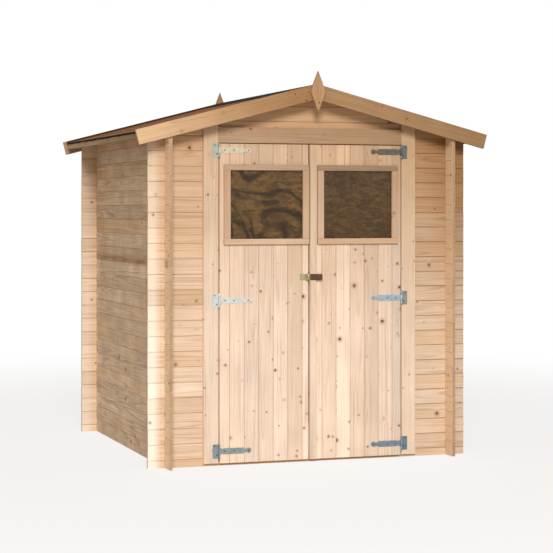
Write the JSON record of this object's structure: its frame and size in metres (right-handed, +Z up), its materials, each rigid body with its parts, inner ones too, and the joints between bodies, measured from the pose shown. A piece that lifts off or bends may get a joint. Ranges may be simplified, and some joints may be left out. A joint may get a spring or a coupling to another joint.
{
  "type": "wooden garden shed",
  "caption": "Small gabled shed of notched wooden logs with an outward-opening glazed double door and a low-pitched felted roof.",
  "frame": {"origin": "centre of the plan on the ground, under the ridge", "axes": "+Z up, +X to the right seen from the doors, +Y to the back; the doors face -Y"},
  "size_m": [2.06, 1.942, 2.1643],
  "materials": {
    "spruce_log": "planed",
    "spruce_trim": "planed",
    "door_board": "planed",
    "roof_board": "planed",
    "bitumen_felt": "matt mineral",
    "glazing": "smooth",
    "galvanised_steel": "zinc plated"
  },
  "bodies": {
    "shed": {"door_head": "spruce_trim", "door_post_left": "spruce_trim", "door_post_right": "spruce_trim", "eave_board_left": "spruce_trim", "eave_board_right": "spruce_trim", "finial_front": "spruce_trim", "finial_rear": "spruce_trim", "front_gable": "spruce_log", "front_verge_left": "spruce_trim", "front_verge_right": "spruce_trim", "front_wall_left": "spruce_log", "front_wall_right": "spruce_log", "head_board": "spruce_trim", "hinge_plates_left": "galvanised_steel", "hinge_plates_right": "galvanised_steel", "jamb_trim_left": "spruce_trim", "jamb_trim_right": "spruce_trim", "left_purlin": "roof_board", "left_wall": "spruce_log", "rear_verge_left": "spruce_trim", "rear_verge_right": "spruce_trim", "rear_wall": "spruce_log", "ridge_felt_cap": "bitumen_felt", "ridge_purlin": "roof_board", "right_purlin": "roof_board", "right_wall": "spruce_log", "roof_deck_left": "roof_board", "roof_deck_right": "roof_board", "roof_felt_left": "bitumen_felt", "roof_felt_right": "bitumen_felt", "threshold": "spruce_trim"},
    "left_door": {"left_door_boards": "door_board", "left_door_hasp_plate": "galvanised_steel", "left_door_hinge_straps": "galvanised_steel", "left_door_ledges": "spruce_trim", "left_door_pane": "glazing", "left_door_window_bead": "spruce_trim", "left_door_window_trim": "spruce_trim"},
    "right_door": {"right_door_boards": "door_board", "right_door_hasp_flap": "galvanised_steel", "right_door_hasp_staple": "galvanised_steel", "right_door_hinge_straps": "galvanised_steel", "right_door_ledges": "spruce_trim", "right_door_meeting_strip": "spruce_trim", "right_door_pane": "glazing", "right_door_window_bead": "spruce_trim", "right_door_window_trim": "spruce_trim"}
  },
  "joints": [
    {"name": "left_door_hinge", "type": "hinge", "parent": "shed", "child": "left_door", "pos_m": [-0.5385, -0.867, 0.9035], "axis": [0, 0, -1], "range_deg": [0, 145]},
    {"name": "right_door_hinge", "type": "hinge", "parent": "shed", "child": "right_door", "pos_m": [0.5385, -0.867, 0.9035], "axis": [0, 0, 1], "range_deg": [0, 145]}
  ]
}
